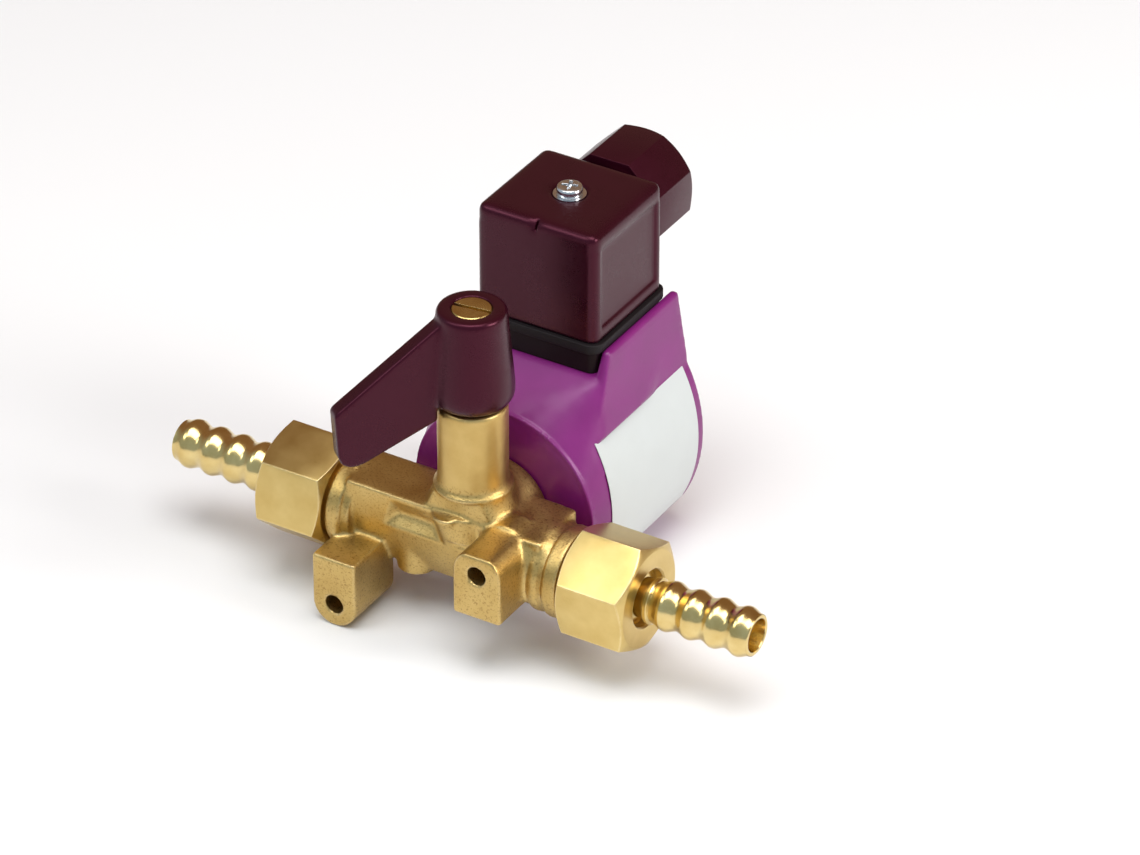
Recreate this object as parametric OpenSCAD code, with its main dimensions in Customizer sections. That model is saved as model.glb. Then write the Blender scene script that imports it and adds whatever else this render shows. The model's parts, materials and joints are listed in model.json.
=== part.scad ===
// In-line solenoid valve with a quarter-turn bypass lever, hose tails and a plug-on connector.
// Millimetres. X runs along the flow to the outlet, Y towards the coil, Z up.
// Modules are drawn about the point where the flow axis meets the turret axis, and
// in_frame() moves them so that the part's origin is the middle of its base.

/* [Body] */
// Length of the casting between its two end faces
body_len = 54.5; // [50:0.5:75]
// Distance from the casting's mid-length to the turret axis
turret_offset = 2.55; // [0:0.05:4]
// Bore of the flow passage
flow_bore_d = 7.6; // [6:0.1:8.4]
// Depth of the middle bar across its lower flats
bar_af = 17; // [15:0.5:20]
// Width of the flat-topped pads on the bar
pad_w = 13; // [10:0.5:16]
// Height of the pads' flat top above the flow axis
pad_top = 9; // [8.6:0.1:11]
// Depth of the recess in the front of the bar
recess_depth = 2.3; // [0.5:0.1:2.4]
// Diameter of the turned end collars
collar_d = 19.4; // [18.4:0.1:22]
// Length of an end collar
collar_len = 3.4; // [2:0.1:5]

/* [Turret] */
// Outside diameter of the turret
turret_d = 14.4; // [13.6:0.1:18]
// Height of the turret's top above the flow axis
turret_top = 33.2; // [30:0.1:45]
// Diameter of the ring round the turret
turret_ring_d = 16.4; // [16:0.1:19]
// Height of that ring above the flow axis
turret_ring_z = 14; // [12:0.1:18]

/* [Lugs] */
// Distance from the flow axis to the lugs' front faces
lug_reach = 17; // [14:0.5:24]
// Width of the inlet-side lug
inlet_lug_w = 10.1; // [9:0.1:12]
// Distance from the turret axis to the inlet-side lug
inlet_lug_x = 23; // [20:0.1:24]
// Drop of the inlet-side hole below the flow axis
inlet_lug_drop = 14.3; // [12:0.1:16]
// Width of the outlet-side lug
outlet_lug_w = 11; // [9:0.1:12]
// Distance from the turret axis to the outlet-side lug
outlet_lug_x = 11; // [9:0.1:13]
// Rise of the outlet-side hole above the flow axis
outlet_lug_rise = 4.6; // [3:0.1:6]
// Core diameter of the M5 lug threads
lug_thread_d = 4.2; // [3.3:0.1:5]
// Depth of the lug threads
lug_thread_len = 9; // [6:0.5:10]

/* [Unions] */
// Outside diameter of the male union thread
port_d = 16.6; // [15.6:0.1:18]
// Length of the male union thread
port_len = 9.5; // [8:0.1:11]
// Diameter of the pipe or tail shank that the union takes
shank_d = 12; // [10:0.1:12.6]
// Depth of the socket that the shank enters
socket_depth = 8.2; // [6:0.1:8.6]
// Width across the flats of a union nut
nut_af = 21.5; // [20.5:0.1:26]
// Length of a union nut
nut_len = 15.7; // [15:0.1:20]
// Turn of the inlet nut about the flow axis
inlet_nut_turn = 12.4; // [0:0.1:60]
// Turn of the outlet nut about the flow axis
outlet_nut_turn = 7.5; // [0:0.1:60]

/* [Hose tails] */
// Length of a tail beyond its nut
tail_reach = 24.7; // [24:0.1:40]
// Bore of a tail
tail_bore_d = 7; // [5:0.1:7.4]
// Diameter over the rings of a tail
ring_d = 10.5; // [10:0.1:11.8]
// Diameter between the rings
ring_root_d = 8.8; // [8.4:0.1:9.6]
// Number of rings on a tail
ring_count = 4; // [2:1:4]
// Spacing of the rings
ring_pitch = 5.5; // [4.5:0.1:5.5]

/* [Lever] */
// Reach of the lever's tip from the turret axis
lever_reach = 29.1; // [26:0.1:45]
// Thickness of the lever's arm
lever_t = 4; // [3:0.1:5]
// Height of the lever's hub
hub_h = 21.4; // [20:0.1:28]
// Diameter of the hub at its top
hub_top_d = 14.3; // [13:0.1:18]
// Diameter of the hub at its widest, near the bottom
hub_base_d = 17.2; // [16.8:0.1:20]
// Angle of the lever from the inlet direction towards the lugs
lever_angle = 50; // [0:1:90]
// Diameter of the lever screw's head
lever_screw_head_d = 8.35; // [7:0.05:9.5]

/* [Spindle] */
// Diameter of the bypass plug and its journal
plug_d = 7.6; // [7:0.1:8]
// Diameter of the spindle's upper shaft
shaft_d = 6; // [5:0.1:6.4]
// Width across the two flats that drive the lever
drive_flats = 4.6; // [4:0.1:5]
// Section diameter of the spindle's O-rings
spindle_ring_t = 1.5; // [1.2:0.1:1.6]
// Outside diameter of the packing nut's thread
packing_d = 10.4; // [9:0.1:11]

/* [Solenoid] */
// Height of the coil axis above the flow axis
coil_rise = 3; // [0:0.1:4]
// Diameter of the boss that carries the guide tube
boss_d = 22; // [20:0.5:24]
// Distance from the flow axis to the boss's face
boss_reach = 11; // [10.5:0.1:14]
// Outside diameter of the guide tube
guide_d = 10; // [9.4:0.1:11]
// Bore of the guide tube
guide_bore_d = 8; // [7.6:0.1:8.4]
// Length of the plunger
plunger_len = 22.8; // [20:0.1:26]
// Travel of the plunger
plunger_stroke = 2; // [1:0.1:2.4]
// Bore of the valve seat
seat_bore_d = 3; // [2:0.1:3.4]
// Turns of the plunger's spring
spring_turns = 7; // [5:1:9]

/* [Coil] */
// Length of the coil housing along its axis
coil_len = 42.7; // [40:0.1:60]
// Half the housing's width at the coil's height
coil_half_w = 22.2; // [21.5:0.1:26]
// Radius of the bulged sides
coil_side_r = 34; // [30:1:45]
// Distance from the coil axis to the flat base
coil_drop = 22.35; // [22:0.05:26]
// Diameter of the round front disc
coil_front_d = 42; // [41:0.5:44]
// Height of the connector's seat above the coil axis
seat_rise = 27.5; // [26.5:0.1:34]
// Height of the side walls above the connector's seat
wall_rise = 4.9; // [3:0.1:5]
// Thickness of a side wall at its top
wall_t = 1.7; // [1.2:0.1:3]
// Outside diameter of the winding
winding_d = 25; // [20:0.5:26]
// Thickness of the magnet yoke's plate
yoke_t = 2.5; // [2:0.1:3]
// Width of the magnet yoke
yoke_w = 20; // [16:0.5:21]

/* [Connector] */
// Width of the plug housing across the valve
plug_w = 28; // [27:0.1:32]
// Length of the plug housing along the coil axis
plug_l = 26.8; // [26:0.1:30]
// Height of the plug housing
plug_h = 24.7; // [23:0.1:32]
// Wall of the plug housing
plug_wall = 2; // [1.5:0.1:2.4]
// Distance from the coil's front to the plug's front face
plug_setback = 12.6; // [12:0.1:14]
// Thickness of the profile gasket
gasket_t = 2; // [1:0.1:3]
// Distance the gasket stands proud of the plug
gasket_lip = 0.8; // [0.2:0.1:1]
// Width of a flat terminal blade
blade_w = 6.3; // [4.8:0.1:6.5]
// Thickness of a flat terminal blade
blade_t = 0.8; // [0.5:0.1:1]
// Shank diameter of the plug's long screw
plug_screw_d = 3; // [2.5:0.1:3.2]

/* [Cable gland] */
// Width across the flats of the eight-sided gland nut
gland_af = 22; // [21:0.1:24]
// Length of the gland nut
gland_len = 16.3; // [15:0.1:22]
// Height of the gland's axis above the plug's bottom edge
gland_rise = 13.4; // [12.2:0.1:14]
// Bore of the cable entry
cable_d = 10; // [7:0.1:11]
// Outside diameter of the gland's thread
gland_thread_d = 17; // [15:0.1:18]

/* [Fits] */
// Radial gap of a shaft that turns or slides in its bore
running_gap = 0.04; // [0.02:0.01:0.08]
// Gap between fixed pieces that touch
seat_gap = 0.05; // [0.02:0.01:0.1]
// Gap between the lever and the turret
lever_gap = 0.4; // [0.3:0.05:0.8]
// Gap between the coil and the body's boss
coil_gap = 0.3; // [0.2:0.05:0.6]

/* [Hidden] */

$fn = 64;

// Colours
cast_brass = [0.80, 0.64, 0.32];
turned_brass = [0.86, 0.71, 0.38];
bright_brass = [0.93, 0.80, 0.46];
dark_plastic = [0.13, 0.05, 0.07];
purple_plastic = [0.48, 0.10, 0.43];
plated_steel = [0.72, 0.73, 0.75];
stainless = [0.62, 0.63, 0.65];
black_rubber = [0.06, 0.06, 0.06];
white_foil = [0.86, 0.89, 0.88];
copper = [0.72, 0.40, 0.22];

// Body ends and unions
inlet_lug_top = -3.4;
recess_low = 1.4;
recess_start = -15.2;
inlet_reach = body_len / 2 + turret_offset;
outlet_reach = body_len / 2 - turret_offset;
nut_gap = 0.5;
nut_face = nut_gap + nut_len;
nut_chamfer = 1.3;
nut_end_wall = 2.5;
nut_thread_d = port_d + 2 * seat_gap;
corner_clear = 0.2; // a nut's turned outline passes its corners by this much
socket_d = shank_d + 2 * seat_gap;
shank_start = port_len - socket_depth + seat_gap;
shank_end = nut_face - 2;
olive_d = shank_d + 2.8;
port_mouth_d = shank_d + 2.6;
olive_start = port_len - 1.6;
olive_end = nut_face - nut_end_wall - 0.7;
tail_neck_d = ring_root_d - 0.4;
tail_tip = nut_face + tail_reach;
ring_land = 0.6;
ring_first = nut_face + 5.2;

// Turret bore, spindle and lever
spindle_ring_z = [11.5, 15.5];
plug_bottom = -6;
journal_top = turret_top - 12;
washer_t = 1.6;
packing_bottom = journal_top + washer_t + 0.4;
plug_bore_d = plug_d + 2 * running_gap;
groove_w = spindle_ring_t + 0.4;
groove_d = plug_d - 2 * spindle_ring_t;
hub_bottom = turret_top + lever_gap;
hub_top = hub_bottom + hub_h;
drive_bottom = hub_bottom + 2.4;
drive_top = hub_bottom + 12.4;
lever_screw_d = 3;
lever_screw_head_h = 3.8;
lever_screw_seat = hub_top - lever_screw_head_h - 0.2;
arm_inner = turret_d / 2 + 0.6;

// Solenoid
guide_flange_t = 2.4;
guide_flange_d = boss_d - 6;
chamber_end = boss_reach - guide_flange_t;
chamber_floor = chamber_end - 1.6;
chamber_d = guide_flange_d - 4;
guide_ring_t = 0.9;
guide_ring_r = (chamber_d + guide_flange_d) / 4;
seat_start = 4.8;
seat_face = chamber_end - 0.2;
seat_d = 6.4;
seal_d = 5.8;
plunger_d = guide_bore_d - 4 * running_gap;
plunger_front = seat_face + 0.6;
plunger_rear = plunger_front + plunger_len;
core_face = plunger_rear + plunger_stroke + 0.2;
spring_bore_d = 4.2;
spring_depth = 12;
spring_wire_d = 0.6;
spring_mean_r = 1.6;
passage_x = 14;

// Coil
coil_front = boss_reach + coil_gap;
coil_rear = coil_front + coil_len;
coil_floor = coil_rise - coil_drop;
side_centre = coil_side_r - coil_half_w;
base_round_r = 26;
shoulder_rise = 17;
barrel_front = coil_front + 5.7;
seat_z = coil_rise + seat_rise;
wall_top = seat_z + wall_rise;
pocket_half = plug_w / 2 + 0.4;
wall_half = pocket_half + wall_t;
yoke_front = coil_front + 2.1;
yoke_rear = coil_rear - 1.9;
yoke_low = 17;
yoke_high = 13;
bobbin_flange_d = winding_d + 1;
bobbin_flange_t = 1.5;
bobbin_tube_d = guide_d + 2.6;
bobbin_bore_d = guide_d + 4 * seat_gap;
tube_clear_d = guide_d + 6 * seat_gap;
bobbin_front = yoke_front + yoke_t + seat_gap;
bobbin_rear = yoke_rear - yoke_t - seat_gap;
stud_d = 6;
coil_washer_t = 1;
coil_nut_af = 10;
coil_nut_h = 4.6;
tube_rear = coil_rear - 2;
label_t = 0.12;
label_front = coil_front + 5.7;
label_rear = coil_rear - 2.5;
label_rise = 16.4;
label_fall = 15.5;

// Connector
plug_front = coil_front + plug_setback;
plug_rear = plug_front + plug_l;
plug_mid = (plug_front + plug_rear) / 2;
base_top = wall_top;
gasket_bottom = base_top + seat_gap;
plug_bottom_z = gasket_bottom + gasket_t + seat_gap;
plug_top = plug_bottom_z + plug_h;
plug_corner_r = 2;
plug_edge = 1.5;
insert_top = plug_bottom_z + 12;
contact_top = insert_top - 2.8;
blade_root = coil_rise + 15;
blade_top = plug_bottom_z + 8.5;
blade_places = [[-8.5, 0, 0], [8.5, 0, 0], [0, 8, 90]];
plug_washer_t = 0.6;
plug_washer_d = 6.8;
plug_head_d = 5.4;
plug_head_h = 1.8;
plug_sink = 0.8;
plug_head_z = plug_top - plug_sink + plug_washer_t + 2 * seat_gap;

// Gland
gland_z = plug_bottom_z + gland_rise;
gland_neck_d = 18.4;
gland_neck_l = 2;
gland_nut_front = plug_rear + gland_neck_l + seat_gap;
gland_rear = gland_nut_front + gland_len;
gland_thread_end = gland_nut_front + 9;
gland_thread_bore_d = gland_thread_d + 2 * seat_gap;
gland_seal_d = gland_thread_d - 3.4;
gland_seal_front = plug_rear + 4.3;
gland_entry_len = 3.5;
gland_washer_t = 1;

// Place of the whole part about its own origin
front_reach = max(
    lug_reach,
    lever_reach * sin(lever_angle) + lever_t / 2 * cos(lever_angle)
);
base_drop = max(coil_drop - coil_rise, inlet_lug_drop + inlet_lug_w / 2);

module in_frame() {
    translate([turret_offset, (front_reach - gland_rear) / 2, base_drop])
        children();
}

// Local +X points out of the valve, with 0 at the casting's end face
module at_inlet() {
    rotate([0, 0, 180])
        translate([inlet_reach, 0, 0])
            children();
}

module at_outlet() {
    translate([outlet_reach, 0, 0])
        children();
}

module at_coil() {
    translate([0, 0, coil_rise])
        children();
}

// Rods and turned shapes along each axis
module rod_x(x0, x1, d) {
    translate([x0, 0, 0])
        rotate([0, 90, 0])
            cylinder(d = d, h = x1 - x0);
}

module rod_y(y0, y1, d) {
    translate([0, y0, 0])
        rotate([-90, 0, 0])
            cylinder(d = d, h = y1 - y0);
}

module rod_z(z0, z1, d) {
    translate([0, 0, z0])
        cylinder(d = d, h = z1 - z0);
}

module cone_y(y0, y1, d0, d1) {
    translate([0, y0, 0])
        rotate([-90, 0, 0])
            cylinder(d1 = d0, d2 = d1, h = y1 - y0);
}

// Turned about the X axis from points [distance along X, radius]
module turned_x(points) {
    rotate([0, 90, 0])
        rotate_extrude()
            polygon([for (p = points) [p[1], p[0]]]);
}

// Turned about the Z axis from points [radius, height]
module turned_z(points) {
    rotate_extrude()
        polygon(points);
}

// A round hole between two points
module drilling(from, to, d) {
    run = to - from;
    translate(from)
        rotate([0, acos(run[2] / norm(run)), atan2(run[1], run[0])])
            cylinder(d = d, h = norm(run));
}

// A box given by its lowest and highest corners
module block(low, high) {
    translate(low)
        cube(high - low);
}

module rounded_rect(w, l, r) {
    square([w - 2 * r, l], center = true);
    square([w, l - 2 * r], center = true);
    for (x = [-1, 1], y = [-1, 1])
        translate([x * (w / 2 - r), y * (l / 2 - r)])
            circle(r);
}

// ---------------------------------------------------------------- body

module turret() {
    chamfer = 0.5;
    ring_r = turret_ring_d / 2;
    foot_r = turret_d / 2 + 0.3;
    turned_z([
        [0, 3], [foot_r, 3], [foot_r, turret_ring_z - 0.8],
        [ring_r, turret_ring_z - 0.3], [ring_r, turret_ring_z + 0.3],
        [turret_d / 2, turret_ring_z + 1], [turret_d / 2, turret_top - chamfer],
        [turret_d / 2 - chamfer, turret_top], [0, turret_top]
    ]);
}

module inlet_lug() {
    half = inlet_lug_w / 2;
    translate([-inlet_lug_x, 0, 0]) {
        block([-half, -lug_reach, -inlet_lug_drop], [half, -2, inlet_lug_top]);
        translate([0, 0, -inlet_lug_drop])
            rod_y(-lug_reach, -2, inlet_lug_w);
    }
}

module outlet_lug() {
    half = outlet_lug_w / 2;
    translate([outlet_lug_x, 0, 0]) {
        block([-half, -lug_reach, -5.6], [half, -2, outlet_lug_rise]);
        translate([0, 0, outlet_lug_rise])
            rod_y(-lug_reach, 0, outlet_lug_w);
    }
}

module end_collars() {
    flange_t = 2.2;
    groove_t = 1.5;
    for (side = [0, 1])
        rotate([0, 0, side * 180])
            translate([side == 0 ? outlet_reach : inlet_reach, 0, 0]) {
                rod_x(-collar_len, 0, collar_d);
                rod_x(-collar_len - groove_t, 0, collar_d - 2.4);
            }
    at_outlet()
        rod_x(-collar_len - groove_t - flange_t, -collar_len - groove_t, collar_d - 0.6);
}

module union_port() {
    chamfer = 0.8;
    turned_x([
        [-1, 0], [-1, port_d / 2 - 0.4], [0, port_d / 2 - 0.4], [0.6, port_d / 2],
        [port_len - chamfer, port_d / 2], [port_len, port_d / 2 - chamfer * 0.4], [port_len, 0]
    ]);
}

// Section of the casting between its collars, flat on top with an eight-sided underside
module bar_section() {
    half_pad = pad_w / 2;
    low = bar_af / 2;
    flat = low * tan(22.5);
    polygon([
        [-half_pad, pad_top], [-half_pad, recess_low], [-half_pad + 0.8, inlet_lug_top],
        [-flat, -low], [flat, -low], [low, -flat], [low, flat],
        [half_pad, low + flat - half_pad], [half_pad, pad_top]
    ]);
}

module extrude_x(x0, x1) {
    translate([x0, 0, 0])
        rotate([90, 0, 90])
            linear_extrude(x1 - x0)
                children();
}

// Groove along the front of the bar, with a sloping end beside the inlet-side lug
module recess() {
    lip = 1.2;
    floor_z = 4.2;
    face = -pad_w / 2;
    end_slope = 18;
    end_skew = 40;
    intersection() {
        extrude_x(-inlet_reach, outlet_lug_x)
            polygon([
                [face - 1, pad_top - lip], [face, pad_top - lip],
                [face + recess_depth, floor_z], [face, recess_low], [face - 1, recess_low]
            ]);
        translate([recess_start, face, pad_top])
            rotate([0, end_slope, 0])
                rotate([0, 0, -end_skew])
                    block([0, -20, -30], [60, 20, 10]);
    }
}

module body_outside() {
    half_pad = pad_w / 2;
    bar_end = outlet_reach - collar_len - 2;
    difference() {
        extrude_x(-inlet_reach + collar_len, bar_end)
            bar_section();
        recess();
    }
    block([0, 0, 2], [bar_end, half_pad + 1.8, pad_top + 0.2]);
    end_collars();
    at_inlet()
        union_port();
    at_outlet()
        union_port();
    turret();
    inlet_lug();
    outlet_lug();
    at_coil()
        rod_y(0, boss_reach, boss_d);
    // tapered boss in front of the turret's foot
    translate([-2.4, -5.4, 0])
        turned_z([[0, 0.6], [0.9, 0.6], [3.6, pad_top - 1], [3.6, pad_top - 0.3], [0, pad_top - 0.3]]);
    // plugged drilling under the bar
    translate([-12.6, -1.5, 0])
        rod_z(-bar_af / 2 - 1.2, 0, 8.4);
}

module socket_cut() {
    turned_x([
        [shank_start - seat_gap, 0], [shank_start - seat_gap, socket_d / 2],
        [olive_start - 0.35, socket_d / 2], [port_len, port_mouth_d / 2],
        [port_len + 1, port_mouth_d / 2 + 0.6], [port_len + 1, 0]
    ]);
}

module body_inside() {
    // flow line, with a socket for the shank at each end
    rod_x(-inlet_reach - 2, -plug_d / 2 + 1, flow_bore_d);
    rod_x(plug_d / 2 - 1, outlet_reach + 2, flow_bore_d);
    at_inlet()
        socket_cut();
    at_outlet()
        socket_cut();
    // spindle bore and the thread of its packing nut
    rod_z(plug_bottom - running_gap, packing_bottom, plug_bore_d);
    rod_z(packing_bottom, turret_top + 1, packing_d + 2 * seat_gap);
    // valve chamber, seat pocket and guide tube recess
    at_coil() {
        rod_y(seat_start, chamber_end, seat_d + 2 * seat_gap);
        rod_y(chamber_floor, chamber_end, chamber_d);
        rod_y(chamber_end, boss_reach + 1, guide_flange_d + 2 * seat_gap);
        guide_ring_groove();
    }
    // drillings from the inlet to the chamber and from the seat to the outlet
    drilling([-passage_x, 0, 0], [-4.6, chamber_floor + 0.6, coil_rise], 4);
    drilling([passage_x, 0, 0], [0, seat_start + 0.8, coil_rise], seat_bore_d);
    // lug threads
    translate([-inlet_lug_x, 0, -inlet_lug_drop])
        rod_y(-lug_reach - 1, -lug_reach + lug_thread_len, lug_thread_d);
    translate([outlet_lug_x, 0, outlet_lug_rise])
        rod_y(-lug_reach - 1, -lug_reach + lug_thread_len, lug_thread_d);
}

module guide_ring_groove() {
    difference() {
        rod_y(chamber_end - guide_ring_t - seat_gap, chamber_end, 2 * guide_ring_r + 1.1);
        rod_y(0, boss_reach, 2 * guide_ring_r - 1.1);
    }
}

module valve_body() {
    color(cast_brass)
        in_frame()
            difference() {
                body_outside();
                body_inside();
            }
}

module seat_insert() {
    color(turned_brass)
        in_frame()
            at_coil()
                difference() {
                    union() {
                        rod_y(seat_start, chamber_floor + 0.4, seat_d);
                        cone_y(chamber_floor + 0.4, seat_face, seat_d, seat_bore_d + 1);
                    }
                    rod_y(seat_start - 1, seat_face + 1, seat_bore_d);
                }
}

// ---------------------------------------------------------------- unions and hose tails

module olive_ring() {
    bore_r = shank_d / 2 + seat_gap / 2;
    land = 1.4;
    middle = port_len + 0.4;
    turned_x([
        [olive_start, bore_r], [olive_start, bore_r + 0.15], [middle, olive_d / 2 - 0.15],
        [middle + 0.15, olive_d / 2], [middle + land, olive_d / 2],
        [olive_end, bore_r + 0.15], [olive_end, bore_r]
    ]);
}

module left_olive() {
    color(bright_brass)
        in_frame()
            at_inlet()
                olive_ring();
}

module right_olive() {
    color(bright_brass)
        in_frame()
            at_outlet()
                olive_ring();
}

// Radius of a ringed tail at a distance from the nearest ring's middle
function ring_radius(off) =
    ring_root_d / 2 + (ring_d - ring_root_d) / 2 * (1 + cos(180 * ring_share(off))) / 2;
function ring_share(off) =
    min(1, max(0, (abs(off) - ring_land / 2) / (ring_pitch / 2 - ring_land / 2)));

module hose_tail() {
    steps = 6;
    half = ring_pitch / 2;
    ramp = half - ring_land / 2;
    side = [for (i = [0 : steps]) ring_land / 2 + ramp * i / steps];
    offsets = concat([for (i = [steps : -1 : 1]) -side[i]], [-side[0], side[0]],
        [for (i = [1 : steps - 1]) side[i]]);
    rings = [for (n = [0 : ring_count - 1], o = offsets)
        [ring_first + n * ring_pitch + o, ring_radius(o)]];
    last_ring = ring_first + (ring_count - 1) * ring_pitch;
    turned_x(concat(
        [
            [shank_start, tail_bore_d / 2], [shank_start, shank_d / 2 - 0.5],
            [shank_start + 0.5, shank_d / 2], [shank_end, shank_d / 2],
            [shank_end + 0.6, tail_neck_d / 2], [nut_face + 0.9, tail_neck_d / 2],
            [nut_face + 1.1, ring_root_d / 2 + 0.5], [nut_face + 1.9, ring_root_d / 2 + 0.5],
            [nut_face + 2.1, ring_root_d / 2]
        ],
        rings,
        [
            [last_ring + half, ring_root_d / 2], [tail_tip - 0.3, ring_root_d / 2 - 0.15],
            [tail_tip, ring_root_d / 2 - 0.4], [tail_tip, tail_bore_d / 2 + 0.3],
            [tail_tip - 0.3, tail_bore_d / 2]
        ]
    ));
}

module left_hose_tail() {
    color(bright_brass)
        in_frame()
            at_inlet()
                hose_tail();
}

module right_hose_tail() {
    color(bright_brass)
        in_frame()
            at_outlet()
                hose_tail();
}

module union_nut(turn) {
    corner_r = nut_af / 2 / cos(30);
    turned_r = corner_r + corner_clear;
    face_r = nut_af / 2 - 0.5;
    thread_end = nut_face - nut_end_wall - 1.7;
    difference() {
        intersection() {
            translate([nut_gap, 0, 0])
                rotate([turn, 0, 0])
                    rotate([0, 90, 0])
                        cylinder(r = corner_r, h = nut_len, $fn = 6);
            turned_x([
                [nut_gap, 0], [nut_gap, face_r], [nut_gap + nut_chamfer, turned_r],
                [nut_face - nut_chamfer, turned_r], [nut_face, face_r], [nut_face, 0]
            ]);
        }
        turned_x([
            [nut_gap - 1, 0], [nut_gap - 1, nut_thread_d / 2], [thread_end, nut_thread_d / 2],
            [thread_end, olive_d / 2 + seat_gap], [nut_face - nut_end_wall, socket_d / 2],
            [nut_face - 0.4, socket_d / 2], [nut_face, socket_d / 2 + 0.4],
            [nut_face + 1, socket_d / 2 + 0.4], [nut_face + 1, 0]
        ]);
    }
}

module left_union_nut() {
    color(turned_brass)
        in_frame()
            at_inlet()
                union_nut(inlet_nut_turn);
}

module right_union_nut() {
    color(turned_brass)
        in_frame()
            at_outlet()
                union_nut(outlet_nut_turn);
}

// ---------------------------------------------------------------- lever and spindle

module spindle() {
    plug_chamfer = 0.4;
    cross_bore_d = plug_d - 2.6;
    color(turned_brass)
        in_frame()
            rotate([0, 0, lever_angle])
                difference() {
                    union() {
                        turned_z([
                            [0, plug_bottom], [plug_d / 2 - plug_chamfer, plug_bottom],
                            [plug_d / 2, plug_bottom + plug_chamfer], [plug_d / 2, journal_top],
                            [0, journal_top]
                        ]);
                        rod_z(journal_top, drive_bottom, shaft_d);
                        intersection() {
                            rod_z(drive_bottom, drive_top, shaft_d);
                            block([-shaft_d, -drive_flats / 2, drive_bottom],
                                [shaft_d, drive_flats / 2, drive_top]);
                        }
                    }
                    rod_x(-plug_d, plug_d, cross_bore_d);
                    for (z = spindle_ring_z)
                        difference() {
                            rod_z(z - groove_w / 2, z + groove_w / 2, plug_d + 1);
                            rod_z(z - groove_w, z + groove_w, groove_d);
                        }
                    rod_z(drive_bottom + 1, drive_top + 1, lever_screw_d + 2 * seat_gap);
                }
}

module spindle_o_rings() {
    color(black_rubber)
        in_frame()
            for (z = spindle_ring_z)
                translate([0, 0, z])
                    rotate_extrude()
                        translate([(plug_d - spindle_ring_t) / 2, 0])
                            circle(d = spindle_ring_t, $fn = 24);
}

module spindle_washer() {
    color([0.9, 0.9, 0.88])
        in_frame()
            difference() {
                rod_z(packing_bottom - washer_t, packing_bottom - seat_gap, plug_d - 0.2);
                rod_z(packing_bottom - 3, packing_bottom, shaft_d + 4 * running_gap);
            }
}

module packing_nut() {
    spanner_slot = 1.2;
    color(turned_brass)
        in_frame()
            difference() {
                rod_z(packing_bottom, turret_top - seat_gap, packing_d);
                rod_z(packing_bottom - 1, turret_top + 1, shaft_d + 2 * running_gap);
                block([-packing_d, -spanner_slot / 2, turret_top - 1.2],
                    [packing_d, spanner_slot / 2, turret_top + 1]);
            }
}

module hub_outside() {
    base_r = hub_base_d / 2;
    top_r = hub_top_d / 2;
    turned_z([
        [0, hub_bottom], [base_r - 1.9, hub_bottom], [base_r - 0.9, hub_bottom + 0.6],
        [base_r - 0.2, hub_bottom + 1.8], [base_r, hub_bottom + 3.4],
        [base_r - 0.15, hub_bottom + 5.4], [top_r, hub_top - 0.9], [top_r - 0.25, hub_top - 0.3],
        [top_r - 0.8, hub_top], [0, hub_top]
    ]);
}

module lever_arm() {
    tip_top = hub_top - 18.3;
    tip_low = hub_top - 31.1;
    rotate([90, 0, 0])
        linear_extrude(lever_t, center = true)
            polygon([
                [0, hub_top - 1.7], [-hub_top_d / 2 + 0.2, hub_top - 1.7],
                [-lever_reach + 0.6, tip_top + 0.3], [-lever_reach, tip_top - 0.5],
                [-lever_reach + 0.6, tip_low + 2.6], [-lever_reach + 1.3, tip_low + 0.9],
                [-lever_reach + 2.7, tip_low], [-lever_reach + 4.4, tip_low - 0.1],
                [-lever_reach + 6.3, tip_low + 0.4], [-arm_inner, hub_bottom - 2.4],
                [-arm_inner, hub_bottom + 0.6], [0, hub_bottom + 0.6]
            ]);
}

module lever() {
    color(dark_plastic)
        in_frame()
            rotate([0, 0, lever_angle])
                difference() {
                    union() {
                        hub_outside();
                        lever_arm();
                    }
                    // recess over the shaft, flats, screw hole and the sink for its head
                    rod_z(hub_bottom - 3, drive_bottom + 0.1, shaft_d + 0.6);
                    intersection() {
                        rod_z(drive_bottom, drive_top + 0.2, shaft_d + 2 * seat_gap);
                        block([-shaft_d, -drive_flats / 2 - seat_gap, drive_bottom - 1],
                            [shaft_d, drive_flats / 2 + seat_gap, drive_top + 1]);
                    }
                    rod_z(drive_top, hub_top + 1, lever_screw_d + 0.4);
                    rod_z(lever_screw_seat, hub_top + 1, lever_screw_head_d + 2 * seat_gap);
                }
}

module lever_screw() {
    slot_w = 0.9;
    slot_depth = 1.1;
    head_z = lever_screw_seat + seat_gap;
    head_top = head_z + lever_screw_head_h;
    head_r = lever_screw_head_d / 2;
    color(turned_brass)
        in_frame()
            difference() {
                union() {
                    turned_z([
                        [0, head_z], [head_r, head_z], [head_r, head_top - 0.3],
                        [head_r - 0.3, head_top], [0, head_top]
                    ]);
                    rod_z(drive_bottom + 2, head_z, lever_screw_d);
                }
                rotate([0, 0, 8])
                    block([-head_r - 1, -slot_w / 2, head_top - slot_depth],
                        [head_r + 1, slot_w / 2, head_top + 1]);
            }
}

// ---------------------------------------------------------------- solenoid

module guide_tube() {
    color(stainless)
        in_frame()
            at_coil()
                difference() {
                    union() {
                        rod_y(chamber_end + seat_gap, boss_reach, guide_flange_d);
                        rod_y(boss_reach, tube_rear, guide_d);
                    }
                    rod_y(0, coil_rear, guide_bore_d);
                }
}

module guide_tube_o_ring() {
    color(black_rubber)
        in_frame()
            at_coil()
                translate([0, chamber_end - guide_ring_t / 2, 0])
                    rotate([-90, 0, 0])
                        rotate_extrude()
                            translate([guide_ring_r, 0])
                                circle(d = guide_ring_t, $fn = 24);
}

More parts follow.
